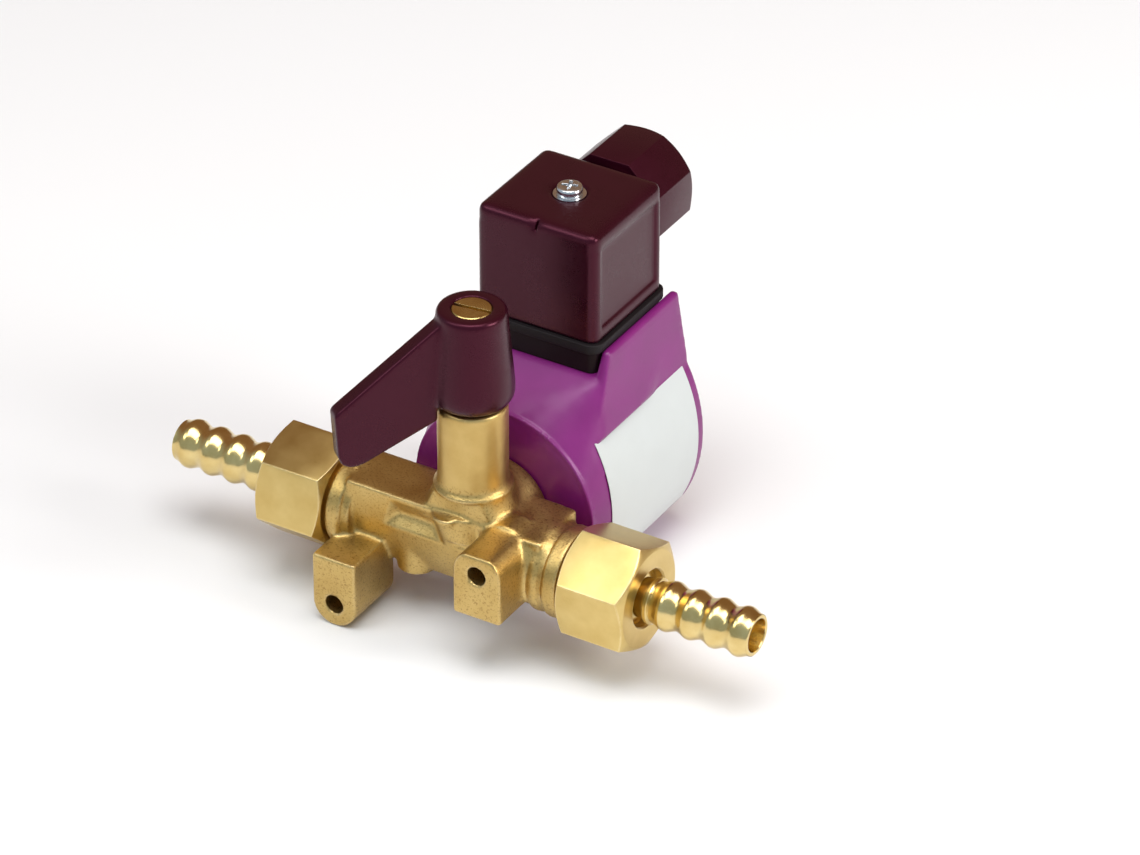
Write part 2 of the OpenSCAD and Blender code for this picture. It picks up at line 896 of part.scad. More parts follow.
module plunger() {
    flute_w = 1.2;
    color(stainless)
        in_frame()
            at_coil()
                difference() {
                    rod_y(plunger_front, plunger_rear, plunger_d);
                    rod_y(plunger_front - 1, plunger_front + 1.6, seal_d + 2 * seat_gap);
                    rod_y(plunger_rear - spring_depth, plunger_rear + 1, spring_bore_d);
                    for (side = [-1, 1])
                        translate([side * plunger_d / 2, 0, 0])
                            block([-0.5, plunger_front - 1, -flute_w / 2],
                                [0.5, plunger_rear + 1, flute_w / 2]);
                }
}

module plunger_seal() {
    color(black_rubber)
        in_frame()
            at_coil()
                rod_y(seat_face + seat_gap, plunger_front + 1.55, seal_d);
}

// Wire swept along a helix about the Y axis
module plunger_spring() {
    sides = 6;
    steps_per_turn = 16;
    rings = spring_turns * steps_per_turn;
    start = plunger_rear - spring_depth + spring_wire_d / 2 + seat_gap;
    length = core_face - spring_wire_d / 2 - seat_gap - start;
    points = [for (i = [0 : rings], k = [0 : sides - 1])
        let (
            turn = 360 * i / steps_per_turn,
            around = 360 * k / sides,
            r = spring_mean_r + spring_wire_d / 2 * cos(around)
        )
        [r * cos(turn), start + length * i / rings + spring_wire_d / 2 * sin(around), r * sin(turn)]];
    walls = [for (i = [0 : rings - 1], k = [0 : sides - 1])
        let (a = i * sides + k, b = i * sides + (k + 1) % sides)
        [a, b, b + sides, a + sides]];
    ends = [
        [for (k = [sides - 1 : -1 : 0]) k],
        [for (k = [0 : sides - 1]) rings * sides + k]
    ];
    color(plated_steel)
        in_frame()
            at_coil()
                polyhedron(points, concat(walls, ends));
}

module fixed_core() {
    color(stainless)
        in_frame()
            at_coil() {
                rod_y(core_face, tube_rear, guide_bore_d - 2 * seat_gap);
                rod_y(tube_rear, tube_rear + 1.4, guide_d);
                rod_y(tube_rear, coil_rear + coil_washer_t + coil_nut_h + 1, stud_d);
            }
}

// ---------------------------------------------------------------- coil

// Cross-section of the coil across its axis, drawn as [X, Z] about the coil axis
module coil_section() {
    intersection() {
        bulged_sides();
        translate([0, base_round_r - coil_drop - 1.4])
            circle(base_round_r, $fn = 96);
        translate([-coil_half_w * 2, -coil_drop])
            square([coil_half_w * 4, coil_drop + shoulder_rise]);
    }
}

module bulged_sides() {
    intersection_for(side = [-1, 1])
        translate([side * side_centre, 0])
            circle(coil_side_r, $fn = 96);
}

// Extrudes a section drawn in [X, Z] from y0 to y1
module extrude_y(y0, y1) {
    translate([0, y1, 0])
        rotate([90, 0, 0])
            linear_extrude(y1 - y0)
                children();
}

module coil_front_part() {
    seat_front = plug_front - 0.1;
    intersection() {
        hull() {
            rod_y(coil_front, coil_front + 1, coil_front_d - 2.4, $fn = 72);
            rod_y(coil_front + 0.7, coil_front + 1.8, coil_front_d, $fn = 72);
            extrude_y(barrel_front, barrel_front + 0.5)
                coil_section();
            block([-wall_half, seat_front, 0], [wall_half, coil_rear, seat_rise]);
        }
        // below the labels' top the sides stay bulged
        union() {
            extrude_y(coil_front, coil_rear)
                bulged_sides();
            block([-coil_half_w, coil_front, label_rise + seat_gap],
                [coil_half_w, coil_rear, seat_rise]);
        }
    }
}

module coil_side_wall(side) {
    low = label_rise + seat_gap;
    top = seat_rise + wall_rise;
    foot_half = coil_half_w - 4;
    hull() {
        mirror([side < 0 ? 1 : 0, 0, 0]) {
            block([pocket_half, plug_front + 2, top - 0.5], [wall_half, coil_rear - 0.6, top]);
            block([pocket_half, barrel_front + 1, low], [foot_half, coil_rear, low + 0.5]);
        }
    }
}

module winding_space(grow) {
    rod_y(bobbin_front - grow, bobbin_rear + grow, bobbin_flange_d + 2 * grow);
}

module coil_housing() {
    color(purple_plastic)
        in_frame()
            at_coil()
                difference() {
                    union() {
                        coil_front_part();
                        extrude_y(barrel_front, coil_rear)
                            coil_section();
                        coil_side_wall(1);
                        coil_side_wall(-1);
                    }
                    block([-pocket_half, plug_front - 0.1, seat_rise],
                        [pocket_half, coil_rear + 1, seat_rise + 20]);
                    rod_y(0, coil_rear + 1, tube_clear_d);
                    winding_space(seat_gap);
                    yoke_shape(seat_gap);
                    translate([0, 0, -coil_rise])
                        blades(seat_gap);
                }
}

module coil_bobbin() {
    color([0.2, 0.2, 0.2])
        in_frame()
            at_coil()
                difference() {
                    union() {
                        rod_y(bobbin_front, bobbin_rear, bobbin_tube_d);
                        rod_y(bobbin_front, bobbin_front + bobbin_flange_t, bobbin_flange_d);
                        rod_y(bobbin_rear - bobbin_flange_t, bobbin_rear, bobbin_flange_d);
                    }
                    rod_y(0, coil_rear, bobbin_bore_d);
                }
}

module coil_winding() {
    margin = bobbin_flange_t + seat_gap;
    color(copper)
        in_frame()
            at_coil()
                difference() {
                    rod_y(bobbin_front + margin, bobbin_rear - margin, winding_d);
                    rod_y(0, coil_rear, bobbin_tube_d + 2 * seat_gap);
                }
}

// Flat strip bent round the winding: front plate, base and rear plate
module yoke_shape(grow) {
    half = yoke_w / 2 + grow;
    low = -yoke_low - grow;
    high = yoke_high + grow;
    block([-half, yoke_front - grow, low], [half, yoke_front + yoke_t + grow, high]);
    block([-half, yoke_rear - yoke_t - grow, low], [half, yoke_rear + grow, high]);
    block([-half, yoke_front, low], [half, yoke_rear, -yoke_low + yoke_t + grow]);
}

module magnet_yoke() {
    color(plated_steel)
        in_frame()
            at_coil()
                difference() {
                    yoke_shape(0);
                    rod_y(0, coil_rear, tube_clear_d);
                }
}

module coil_label() {
    color(white_foil)
        in_frame()
            at_coil()
                extrude_y(label_front, label_rear)
                    intersection() {
                        difference() {
                            translate([-side_centre, 0])
                                circle(coil_side_r + seat_gap / 2 + label_t, $fn = 96);
                            translate([-side_centre, 0])
                                circle(coil_side_r + seat_gap / 2, $fn = 96);
                        }
                        translate([0, -label_fall])
                            square([coil_half_w * 2, label_rise + label_fall]);
                    }
}

module coil_washer() {
    color(plated_steel)
        in_frame()
            at_coil()
                difference() {
                    rod_y(coil_rear + seat_gap, coil_rear + coil_washer_t, 13);
                    rod_y(coil_rear - 1, coil_rear + 4, stud_d + 2 * seat_gap);
                }
}

module coil_nut() {
    start = coil_rear + coil_washer_t + seat_gap;
    chamfer = 0.7;
    corner_r = coil_nut_af / 2 / cos(30);
    turned_d = 2 * (corner_r + corner_clear);
    color(plated_steel)
        in_frame()
            at_coil()
                difference() {
                    intersection() {
                        translate([0, start, 0])
                            rotate([-90, 0, 0])
                                cylinder(r = corner_r, h = coil_nut_h, $fn = 6);
                        union() {
                            rod_y(start, start + coil_nut_h - chamfer, turned_d);
                            cone_y(start + coil_nut_h - chamfer, start + coil_nut_h,
                                turned_d, coil_nut_af - 0.4);
                        }
                    }
                    rod_y(coil_rear, coil_rear + 20, stud_d + 2 * seat_gap);
                }
}

// ---------------------------------------------------------------- connector

// The three flat blades, or the slots for them when grown by a gap
module blades(grow) {
    for (p = blade_places)
        translate([p[0], plug_mid + p[1], 0])
            rotate([0, 0, p[2]])
                block([-blade_t / 2 - grow, -blade_w / 2 - grow, blade_root - grow],
                    [blade_t / 2 + grow, blade_w / 2 + grow, blade_top + grow]);
}

module at_plug() {
    translate([0, plug_mid, 0])
        children();
}

module coil_terminals() {
    color(plated_steel)
        in_frame()
            blades(0);
}

module terminal_base() {
    color(dark_plastic)
        in_frame()
            difference() {
                at_plug()
                    translate([0, 0, seat_z + seat_gap])
                        linear_extrude(base_top - seat_z - seat_gap)
                            rounded_rect(plug_w, plug_l - 0.2, plug_corner_r);
                blades(seat_gap);
                at_plug()
                    rod_z(seat_z + 1, base_top + 1, plug_screw_d + 2 * seat_gap);
            }
}

module connector_gasket() {
    color(black_rubber)
        in_frame()
            difference() {
                at_plug()
                    translate([0, 0, gasket_bottom])
                        linear_extrude(gasket_t)
                            rounded_rect(plug_w + 2 * gasket_lip, plug_l + 2 * gasket_lip,
                                plug_corner_r + gasket_lip);
                blades(seat_gap);
                at_plug()
                    rod_z(gasket_bottom - 1, gasket_bottom + gasket_t + 1, plug_screw_d + 0.4);
            }
}

// Upright outline with its two top corners rounded
module arched_side(w, h, r) {
    translate([-w / 2, 0])
        square([w, h - r]);
    translate([-w / 2 + r, 0])
        square([w - 2 * r, h]);
    for (x = [-1, 1])
        translate([x * (w / 2 - r), h - r])
            circle(r);
}

// Box with rounded upright edges and a rounded top edge
module plug_shell() {
    translate([0, 0, plug_bottom_z])
        intersection() {
            linear_extrude(plug_h)
                rounded_rect(plug_w, plug_l, plug_corner_r);
            extrude_y(-plug_l, plug_l)
                arched_side(plug_w, plug_h, plug_edge);
            rotate([0, 0, 90])
                extrude_y(-plug_w, plug_w)
                    arched_side(plug_l, plug_h, plug_edge);
        }
}

module plug_outside() {
    at_plug()
        plug_shell();
    translate([0, 0, gland_z]) {
        rod_y(plug_rear - plug_wall, plug_rear + gland_neck_l, gland_neck_d);
        rod_y(plug_rear, gland_thread_end - 0.6, gland_thread_d);
    }
}

module connector_housing() {
    panel_depth = 0.6;
    panel_edge = 2.6;
    cavity_top = plug_top - plug_wall;
    color(dark_plastic)
        in_frame()
            difference() {
                union() {
                    difference() {
                        plug_outside();
                        at_plug()
                            translate([0, 0, plug_bottom_z - 1])
                                linear_extrude(cavity_top - plug_bottom_z + 1)
                                    rounded_rect(plug_w - 2 * plug_wall, plug_l - 2 * plug_wall, 1);
                    }
                    // boss that carries the long screw
                    at_plug()
                        rod_z(insert_top + seat_gap, cavity_top + 0.5, plug_screw_d + 3);
                }
                at_plug() {
                    rod_z(insert_top - 1, plug_top + 1, plug_screw_d + 0.3);
                    rod_z(plug_top - plug_sink, plug_top + 1, plug_washer_d + 0.6);
                }
                // sunk panel on each side
                for (side = [-1, 1])
                    translate([side * plug_w / 2, 0, 0])
                        block([-panel_depth, plug_front + panel_edge, plug_bottom_z + panel_edge],
                            [panel_depth, plug_rear - panel_edge, plug_top - panel_edge - 1]);
                // finger notch in the front top edge
                block([-0.6, plug_front - 1, plug_top - plug_edge], [0.6, plug_front + 1.2, plug_top + 1]);
                // cable passage and the seal's socket
                translate([0, 0, gland_z]) {
                    rod_y(plug_rear - plug_wall - 1, gland_seal_front, gland_seal_d - 3);
                    rod_y(gland_seal_front, gland_thread_end, gland_seal_d + 2 * seat_gap);
                }
            }
}

module connector_insert() {
    clear = plug_wall + 0.4;
    color([0.25, 0.25, 0.26])
        in_frame()
            difference() {
                at_plug()
                    translate([0, 0, plug_bottom_z + seat_gap])
                        linear_extrude(insert_top - plug_bottom_z - seat_gap)
                            rounded_rect(plug_w - 2 * clear, plug_l - 2 * clear, 1);
                contacts(seat_gap);
                contact_screw_rods(seat_gap);
                blades(seat_gap);
                at_plug()
                    rod_z(plug_bottom_z - 1, insert_top + 1, plug_screw_d + 0.4);
            }
}

module contacts(grow) {
    wall = 0.7;
    for (p = blade_places)
        translate([p[0], plug_mid + p[1], 0])
            rotate([0, 0, p[2]])
                block([-blade_t / 2 - wall - grow, -blade_w / 2 - wall - grow,
                        plug_bottom_z + 1.5 - grow],
                    [blade_t / 2 + wall + grow, blade_w / 2 + wall + grow, contact_top + grow]);
}

module connector_contacts() {
    color(turned_brass)
        in_frame()
            difference() {
                contacts(0);
                blades(seat_gap);
            }
}

module contact_screw_rods(grow) {
    for (p = blade_places)
        translate([p[0], plug_mid + p[1], 0])
            rod_z(contact_top + seat_gap - grow, insert_top + 0.9 + 2 * grow, 2.6 + 2 * grow);
}

module contact_screws() {
    color(plated_steel)
        in_frame()
            difference() {
                contact_screw_rods(0);
                for (p = blade_places)
                    translate([p[0], plug_mid + p[1], 0])
                        block([-2, -0.25, insert_top + 0.3], [2, 0.25, insert_top + 2]);
            }
}

module connector_screw() {
    head_r = plug_head_d / 2;
    head_top = plug_head_z + plug_head_h;
    color(plated_steel)
        in_frame()
            at_plug()
                difference() {
                    union() {
                        turned_z([
                            [0, plug_head_z], [head_r, plug_head_z], [head_r, head_top - 0.6],
                            [head_r - 0.2, head_top - 0.2], [head_r - 0.7, head_top], [0, head_top]
                        ]);
                        rod_z(seat_z + 1.5, plug_head_z, plug_screw_d);
                    }
                    for (turn = [0, 90])
                        rotate([0, 0, turn + 20])
                            block([-head_r * 0.62, -0.35, head_top - 1],
                                [head_r * 0.62, 0.35, head_top + 1]);
                }
}

module connector_screw_washer() {
    washer_z = plug_top - plug_sink + seat_gap;
    color(plated_steel)
        in_frame()
            at_plug()
                difference() {
                    rod_z(washer_z, washer_z + plug_washer_t, plug_washer_d);
                    rod_z(washer_z - 1, washer_z + 2, plug_screw_d + 0.3);
                }
}

// ---------------------------------------------------------------- cable gland

module gland_nut() {
    corner_r = gland_af / 2 / cos(22.5);
    turned_d = 2 * (corner_r + corner_clear);
    chamfer = 2.6;
    cone_end = gland_rear - gland_entry_len;
    color(dark_plastic)
        in_frame()
            translate([0, 0, gland_z])
                difference() {
                    intersection() {
                        translate([0, gland_nut_front, 0])
                            rotate([-90, 0, 0])
                                rotate([0, 0, 22.5])
                                    cylinder(r = corner_r, h = gland_len, $fn = 8);
                        union() {
                            rod_y(gland_nut_front, gland_rear - chamfer, turned_d);
                            cone_y(gland_rear - chamfer, gland_rear, turned_d,
                                gland_af - 1.4 * chamfer);
                        }
                    }
                    rod_y(0, gland_thread_end + gland_washer_t + 0.2, gland_thread_bore_d);
                    cone_y(gland_thread_end + gland_washer_t + 0.1, cone_end + 0.01,
                        gland_seal_d + 0.4, cable_d);
                    rod_y(cone_end, gland_rear + 1, cable_d);
                }
}

module gland_washer() {
    color(plated_steel)
        in_frame()
            translate([0, 0, gland_z])
                difference() {
                    rod_y(gland_thread_end + seat_gap, gland_thread_end + gland_washer_t,
                        gland_thread_d - 0.6);
                    rod_y(gland_thread_end - 1, gland_thread_end + 3, cable_d + 0.4);
                }
}

module gland_seal() {
    color(black_rubber)
        in_frame()
            translate([0, 0, gland_z])
                difference() {
                    rod_y(gland_seal_front + seat_gap, gland_thread_end, gland_seal_d);
                    rod_y(0, gland_rear, cable_d - 2);
                }
}

valve_body();
seat_insert();
left_olive();
right_olive();
left_hose_tail();
right_hose_tail();
left_union_nut();
right_union_nut();
spindle();
spindle_o_rings();
spindle_washer();
packing_nut();
lever();
lever_screw();
guide_tube();
guide_tube_o_ring();
plunger();
plunger_seal();
plunger_spring();
fixed_core();
coil_housing();
coil_bobbin();
coil_winding();
magnet_yoke();
coil_label();
coil_washer();
coil_nut();
terminal_base();
coil_terminals();
connector_gasket();
connector_housing();
connector_insert();
connector_contacts();
contact_screws();
connector_screw();
connector_screw_washer();
gland_nut();
gland_washer();
gland_seal();
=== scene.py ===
"""Solenoid valve with a bypass lever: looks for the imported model, in the CAD frame.

Fields, outlines and the places that they are worked out from are in millimetres. What is handed
to Blender is in metres.
"""
import json
import math

import bmesh
import bpy
import numpy as np
import openvdb as vdb
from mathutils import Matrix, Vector


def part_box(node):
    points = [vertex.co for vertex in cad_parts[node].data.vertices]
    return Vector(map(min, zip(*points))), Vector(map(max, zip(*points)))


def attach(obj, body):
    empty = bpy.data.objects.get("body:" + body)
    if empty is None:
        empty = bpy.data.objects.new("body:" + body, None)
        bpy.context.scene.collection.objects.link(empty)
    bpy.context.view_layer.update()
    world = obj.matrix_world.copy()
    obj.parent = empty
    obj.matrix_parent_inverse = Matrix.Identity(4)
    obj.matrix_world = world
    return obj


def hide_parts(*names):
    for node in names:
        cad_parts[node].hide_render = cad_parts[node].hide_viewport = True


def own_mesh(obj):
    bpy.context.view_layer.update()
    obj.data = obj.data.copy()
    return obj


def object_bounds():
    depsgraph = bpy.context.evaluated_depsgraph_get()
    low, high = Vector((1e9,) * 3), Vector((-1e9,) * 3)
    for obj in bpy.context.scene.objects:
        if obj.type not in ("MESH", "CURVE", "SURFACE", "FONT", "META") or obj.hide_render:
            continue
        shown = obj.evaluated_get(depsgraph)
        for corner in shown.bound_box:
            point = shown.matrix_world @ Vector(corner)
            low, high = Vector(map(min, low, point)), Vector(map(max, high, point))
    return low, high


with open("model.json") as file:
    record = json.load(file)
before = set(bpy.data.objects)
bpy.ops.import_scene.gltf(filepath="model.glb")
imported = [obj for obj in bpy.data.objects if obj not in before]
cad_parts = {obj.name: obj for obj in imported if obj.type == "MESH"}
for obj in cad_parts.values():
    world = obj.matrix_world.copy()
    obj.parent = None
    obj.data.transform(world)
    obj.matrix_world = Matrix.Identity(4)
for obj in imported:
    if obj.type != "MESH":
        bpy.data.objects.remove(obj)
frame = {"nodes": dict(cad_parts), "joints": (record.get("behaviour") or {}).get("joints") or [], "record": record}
cad_low, cad_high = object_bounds()

MM = 0.001
X, Y, Z = 0, 1, 2

record = frame["record"]
mounts = {m["name"]: m for m in record["mounts"]}
joints = {j["name"]: j for j in frame["joints"]}
body_of = {node: body for body, nodes in record["behaviour"]["bodies"].items() for node in nodes}
slot_of = {part["node"]: part["material_slot"] for part in record["subparts"]}


def in_mm(point):
    return np.array(point, float) / MM


def box_mm(node):
    low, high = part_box(node)
    return in_mm(low), in_mm(high)


def centre_of(node):
    low, high = box_mm(node)
    return (low + high) / 2


# the turret's axis crosses the flow axis at the valve's origin, and the coil's axis runs along Y
turret = in_mm(joints["bypass_turn"]["pos_m"])
flow_y, flow_z = turret[Y], turret[Z]
coil_axis = centre_of("guide_tube")


# ---------------------------------------------------------------- objects

def new_object(name, data):
    obj = bpy.data.objects.new(name, data)
    bpy.context.scene.collection.objects.link(obj)
    return obj


def smooth_shade(obj):
    obj.data.polygons.foreach_set("use_smooth", [True] * len(obj.data.polygons))
    obj.data.update()


def outward(obj):
    """Turns the faces outwards."""
    made = bmesh.new()
    made.from_mesh(obj.data)
    if made.calc_volume(signed=True) < 0:
        obj.data.flip_normals()
    made.free()
    return obj


def stands_for(obj, node):
    """The piece replaces a CAD node and rides on its body."""
    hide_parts(node)
    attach(obj, body_of[node])
    return obj


# ---------------------------------------------------------------- shapes on a grid of distances

BAND = 7  # voxels on each side of the surface where distances are kept
FLAT_MERGE = 0.03  # how readily flat stretches become larger faces, from 0 to 1


class Field:
    """Signed distance to a CAD node, in mm, on a regular grid. It is negative inside."""

    def __init__(self, node, voxel):
        mesh = frame["nodes"][node].data
        mesh.calc_loop_triangles()
        points = np.empty(len(mesh.vertices) * 3, np.float32)
        mesh.vertices.foreach_get("co", points)
        points = (points / MM).reshape(-1, 3)
        corners = np.empty(len(mesh.loop_triangles) * 3, np.int32)
        mesh.loop_triangles.foreach_get("vertices", corners)
        self.voxel = voxel
        self.transform = vdb.createLinearTransform(voxelSize=voxel)
        grid = vdb.FloatGrid.createLevelSetFromPolygons(
            points, triangles=corners.reshape(-1, 3).astype(np.uint32),
            transform=self.transform, halfWidth=float(BAND))
        margin = BAND + 1
        self.low = np.floor(points.min(0) / voxel).astype(int) - margin
        size = np.ceil(points.max(0) / voxel).astype(int) + margin - self.low
        self.d = np.zeros(size, np.float32)
        grid.copyToArray(self.d, ijk=tuple(int(i) for i in self.low))
        axes = [(self.low[i] + np.arange(size[i])).astype(np.float32) * voxel for i in range(3)]
        self.x = axes[X][:, None, None]
        self.y = axes[Y][None, :, None]
        self.z = axes[Z][None, None, :]

    def blurred(self, size):
        """The distances smoothed by a bell curve of this width in mm."""
        reach = max(1, int(math.ceil(2.5 * size / self.voxel)))
        steps = np.arange(-reach, reach + 1)
        bell = np.exp(-0.5 * (steps * self.voxel / size) ** 2)
        bell /= bell.sum()
        out = self.d
        for axis in range(3):
            padded = np.pad(out, [(reach, reach) if a == axis else (0, 0) for a in range(3)], mode="edge")
            total = np.zeros_like(out)
            for k, weight in enumerate(bell):
                cut = [slice(None)] * 3
                cut[axis] = slice(k, k + out.shape[axis])
                total += np.float32(weight) * padded[tuple(cut)]
            out = total
        return out

    def away(self, axis, centre, start, end):
        """0 within start mm of an axis line and 1 beyond end mm, so that true bores stay true."""
        across = [c for i, c in enumerate((self.x, self.y, self.z)) if i != axis]
        places = [c for i, c in enumerate(centre) if i != axis]
        radius = np.sqrt((across[0] - places[0]) ** 2 + (across[1] - places[1]) ** 2)
        return ramp(radius, start, end)

    def rounded(self, edge, fillet, where=1.0):
        """Small rounding on outer edges and wide fillets in inner corners."""
        soft = smooth_min(self.blurred(edge), self.blurred(fillet), fillet=0.08)
        self.d = (self.d + (soft - self.d) * where).astype(np.float32)

    def add(self, shape, fillet):
        self.d = smooth_min(self.d, shape, fillet)

    def cut(self, shape, fillet):
        self.d = -smooth_min(-self.d, shape, fillet)

    def piece(self, name):
        limit = np.float32(BAND * self.voxel)
        grid = vdb.FloatGrid(float(limit))
        grid.transform = self.transform
        grid.gridClass = vdb.GridClass.LEVEL_SET
        grid.copyFromArray(np.clip(self.d, -limit, limit), ijk=tuple(int(i) for i in self.low))
        points, triangles, quads = grid.convertToPolygons(isovalue=0.0, adaptivity=FLAT_MERGE)
        mesh = bpy.data.meshes.new(name)
        mesh.from_pydata((points * MM).tolist(), [], [list(f)[::-1] for f in (*triangles, *quads)])
        mesh.update()
        obj = new_object(name, mesh)
        smooth_shade(obj)
        return outward(obj)


def smooth_min(a, b, fillet):
    h = np.clip(0.5 + 0.5 * (b - a) / fillet, 0, 1)
    return (b + (a - b) * h - fillet * h * (1 - h)).astype(np.float32)


def ramp(value, start, end):
    """0 before start and 1 after end, with a smooth step between."""
    t = np.clip((value - start) / (end - start), 0, 1)
    return t * t * (3 - 2 * t)


# ---------------------------------------------------------------- bevelled and turned shapes

MERGE_DISTANCE = 2e-6  # metres between points that are the same point
FLAT_ANGLE = math.radians(1)  # faces that meet at less are one flat face
SHARP_ANGLE = math.radians(24)  # edges that bend by more get a bevel
CREASE_ANGLE = math.radians(35)  # edges that bend by more stay sharp in the shading
TURNED_CREASE_ANGLE = math.radians(40)


def bevelled(node, name, width):
    """A copy of a CAD node with its sharp edges rounded."""
    made = bmesh.new()
    made.from_mesh(frame["nodes"][node].data)
    bmesh.ops.remove_doubles(made, verts=made.verts, dist=MERGE_DISTANCE)
    bmesh.ops.dissolve_limit(made, angle_limit=FLAT_ANGLE, verts=made.verts, edges=made.edges)
    edges = [e for e in made.edges if len(e.link_faces) == 2 and e.calc_face_angle(0) > SHARP_ANGLE]
    bmesh.ops.bevel(made, geom=edges, offset=width * MM, offset_type="OFFSET", segments=3,
                    profile=0.5, affect="EDGES", clamp_overlap=True)
    bmesh.ops.triangulate(made, faces=[f for f in made.faces if len(f.verts) > 4])
    mesh = bpy.data.meshes.new(name)
    made.to_mesh(mesh)
    made.free()
    obj = new_object(name, mesh)
    smooth_shade(obj)
    mesh.set_sharp_from_angle(angle=CREASE_ANGLE)
    return stands_for(obj, node)


def turned_on_flow_axis(name, outline, around=128):
    """Turns a closed outline of [x, radius] about the axis of the flow, which runs along X."""
    verts, faces = [], []
    count = len(outline)
    for k in range(around):
        turn = 2 * math.pi * k / around
        for x, r in outline:
            verts.append((x * MM, (flow_y + r * math.cos(turn)) * MM, (flow_z + r * math.sin(turn)) * MM))
    for k in range(around):
        for i in range(count):
            j, n = (i + 1) % count, (k + 1) % around
            faces.append((k * count + i, k * count + j, n * count + j, n * count + i))
    mesh = bpy.data.meshes.new(name)
    mesh.from_pydata(verts, [], faces)
    obj = new_object(name, mesh)
    smooth_shade(obj)
    mesh.set_sharp_from_angle(angle=TURNED_CREASE_ANGLE)
    return outward(obj)


# ---------------------------------------------------------------- materials

class Shade:
    """Builds one procedural material around a Principled shader. Its sizes are in mm."""

    def __init__(self, name, **constants):
        self.material = bpy.data.materials.new(name)
        self.material.use_nodes = True
        self.tree = self.material.node_tree
        self.bsdf = self.tree.nodes["Principled BSDF"]
        self.place = self.node("ShaderNodeTexCoord").outputs["Object"]
        self.normal = None
        for socket, value in constants.items():
            self.bsdf.inputs[socket.replace("_", " ")].default_value = value

    def node(self, kind, inputs=None, **settings):
        made = self.tree.nodes.new(kind)
        for key, value in settings.items():
            setattr(made, key, value)
        for key, value in (inputs or {}).items():
            self.feed(made.inputs[key], value)
        return made

    def feed(self, socket, value):
        if isinstance(value, bpy.types.NodeSocket):
            self.tree.links.new(value, socket)
        else:
            socket.default_value = value

    def math(self, operation, a, b=0.0, clamp=False):
        return self.node("ShaderNodeMath", {0: a, 1: b}, operation=operation, use_clamp=clamp).outputs[0]

    def times(self, a, b, clamp=False):
        return self.math("MULTIPLY", a, b, clamp)

    def average(self, a, b, weight=0.5):
        """A weighted average, where weight is the share of the first value."""
        return self.math("ADD", self.times(a, weight), self.times(b, 1 - weight))

    def mix(self, share, a, b):
        made = self.node("ShaderNodeMix", data_type="RGBA")
        self.feed(made.inputs[0], share)
        self.feed(made.inputs[6], a)
        self.feed(made.inputs[7], b)
        return made.outputs[2]

    def range(self, value, low, high, to_low=0.0, to_high=1.0):
        return self.node("ShaderNodeMapRange", {0: value, 1: low, 2: high, 3: to_low, 4: to_high}).outputs[0]

    def spread(self, noise, low=0.0, high=1.0):
        """Most of a noise lies between 0.3 and 0.7, and this spreads it from low to high."""
        return self.range(noise, 0.3, 0.7, low, high)

    def noise(self, size, detail=3.0, rough=0.55, place=None, stretch=(1, 1, 1)):
        """Noise from 0 to 1 whose features are about size across, longer along the stretched axes."""
        scale = tuple(1 / (size * MM * s) for s in stretch)
        scaled = self.node("ShaderNodeVectorMath", {0: place or self.place, 1: scale}, operation="MULTIPLY")
        settings = {"Vector": scaled.outputs[0], "Scale": 1.0, "Detail": detail, "Roughness": rough}
        return self.node("ShaderNodeTexNoise", settings).outputs["Fac"]

    def round_axis(self, axis, centre):
        """Coordinates that stay the same round an axis, for tool marks."""
        split = self.node("ShaderNodeSeparateXYZ", {0: self.place}).outputs
        squares = []
        for i in range(3):
            if i != axis:
                off = self.math("SUBTRACT", split[i], float(centre[i] * MM))
                squares.append(self.times(off, off))
        radius = self.math("SQRT", self.math("ADD", squares[0], squares[1]))
        return self.node("ShaderNodeCombineXYZ", {0: split[axis], 1: radius, 2: 0.0}).outputs[0]

    def wear_and_highlight_edges(self, radius, patch, patch_span=(0.3, 0.6), edge_span=(0.97, 0.80)):
        """1 on edges, in patches of about this size, and 0 on open faces: where edges are painted lighter, partly
        as rubbed wear and partly as a painted highlight.
        """
        soft = self.node("ShaderNodeBevel", {"Radius": radius * MM}, samples=4).outputs[0]
        true = self.node("ShaderNodeNewGeometry").outputs["Normal"]
        same = self.node("ShaderNodeVectorMath", {0: soft, 1: true}, operation="DOT_PRODUCT").outputs["Value"]
        patches = self.range(self.noise(patch), *patch_span)
        return self.times(self.range(same, *edge_span), patches, clamp=True)

    def bump(self, height, depth, share=1.0):
        settings = {"Height": height, "Strength": share, "Distance": depth * MM}
        if self.normal is not None:
            settings["Normal"] = self.normal
        self.normal = self.node("ShaderNodeBump", settings).outputs[0]

    def finish(self, colour, roughness):
        self.feed(self.bsdf.inputs["Base Color"], colour)
        self.feed(self.bsdf.inputs["Roughness"], roughness)
        if self.normal is not None:
            self.feed(self.bsdf.inputs["Normal"], self.normal)
        return self.material


def rgb(red, green, blue):
    return (red, green, blue, 1.0)


pale_brass, deep_brass = rgb(0.68, 0.51, 0.20), rgb(0.58, 0.41, 0.14)
# lighter colour of brass edges: partly rubbed wear, partly a painted highlight
wear_and_highlight_brass = rgb(0.92, 0.78, 0.48)


